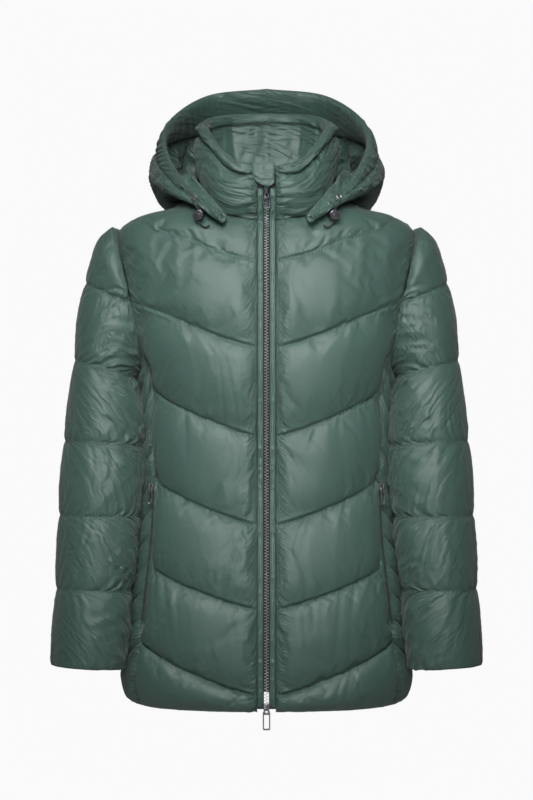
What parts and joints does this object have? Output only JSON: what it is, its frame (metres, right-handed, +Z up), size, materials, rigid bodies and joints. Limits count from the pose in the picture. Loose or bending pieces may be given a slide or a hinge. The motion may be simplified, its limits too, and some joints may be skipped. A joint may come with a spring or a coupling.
{
  "type": "quilted_jacket",
  "caption": "Hip-length quilted jacket with a front zip, stand-up collar, slouched hood, long sleeves and side pockets, filled out and hollow as when worn",
  "frame": {"origin": "the nape: the middle of the back neck seam, where the wearer carries the jacket", "axes": "+Z up, the front faces -Y, +X is the wearer's left"},
  "size_m": [0.615, 0.3694, 0.9328],
  "materials": {
    "shell_nylon": "satin woven nylon, dark green",
    "zip_tape": "matt woven tape, black",
    "elastic_cord": "braided cover, black",
    "gunmetal": "polished dark plating",
    "toggle_metal": "polished nickel plating"
  },
  "bodies": {
    "jacket": {"front_left": "shell_nylon", "front_right": "shell_nylon", "back": "shell_nylon", "side_left": "shell_nylon", "side_right": "shell_nylon", "sleeve_left": "shell_nylon", "sleeve_right": "shell_nylon", "collar": "shell_nylon", "hood_middle": "shell_nylon", "hood_side_left": "shell_nylon", "hood_side_right": "shell_nylon", "hood_band": "shell_nylon", "placket_left": "shell_nylon", "placket_right": "shell_nylon", "chin_guard": "shell_nylon", "pocket_welt_left": "shell_nylon", "pocket_welt_right": "shell_nylon", "hood_zip_tape_left": "zip_tape", "hood_zip_tape_right": "zip_tape", "zip_tape_left": "zip_tape", "zip_tape_right": "zip_tape", "pocket_zip_left": "zip_tape", "pocket_zip_right": "zip_tape", "zip_teeth": "gunmetal", "slider_top": "gunmetal", "slider_bottom": "gunmetal", "slider_pocket_left": "gunmetal", "slider_pocket_right": "gunmetal", "eyelet_left": "gunmetal", "eyelet_right": "gunmetal", "toggle_left": "toggle_metal", "toggle_right": "toggle_metal", "hood_cord_left": "elastic_cord", "hood_cord_right": "elastic_cord"},
    "top_pull": {"pull_top": "gunmetal"},
    "bottom_pull": {"pull_bottom": "gunmetal"},
    "pocket_pull_left": {"pull_pocket_left": "gunmetal"},
    "pocket_pull_right": {"pull_pocket_right": "gunmetal"}
  },
  "joints": [
    {"name": "top_pull_swing", "type": "hinge", "parent": "jacket", "child": "top_pull", "pos_m": [0, -0.16511, -0.0424], "axis": [-1, 0, 0], "range_deg": [0, 80]},
    {"name": "bottom_pull_swing", "type": "hinge", "parent": "jacket", "child": "bottom_pull", "pos_m": [0, -0.19583, -0.766], "axis": [-1, 0, 0], "range_deg": [0, 90]},
    {"name": "pocket_pull_left_swing", "type": "hinge", "parent": "jacket", "child": "pocket_pull_left", "pos_m": [0.16564, -0.12728, -0.4597], "axis": [-0.6091, -0.7931, 0], "range_deg": [0, 40]},
    {"name": "pocket_pull_right_swing", "type": "hinge", "parent": "jacket", "child": "pocket_pull_right", "pos_m": [-0.16564, -0.12728, -0.4597], "axis": [-0.6091, 0.7931, 0], "range_deg": [0, 40]}
  ]
}
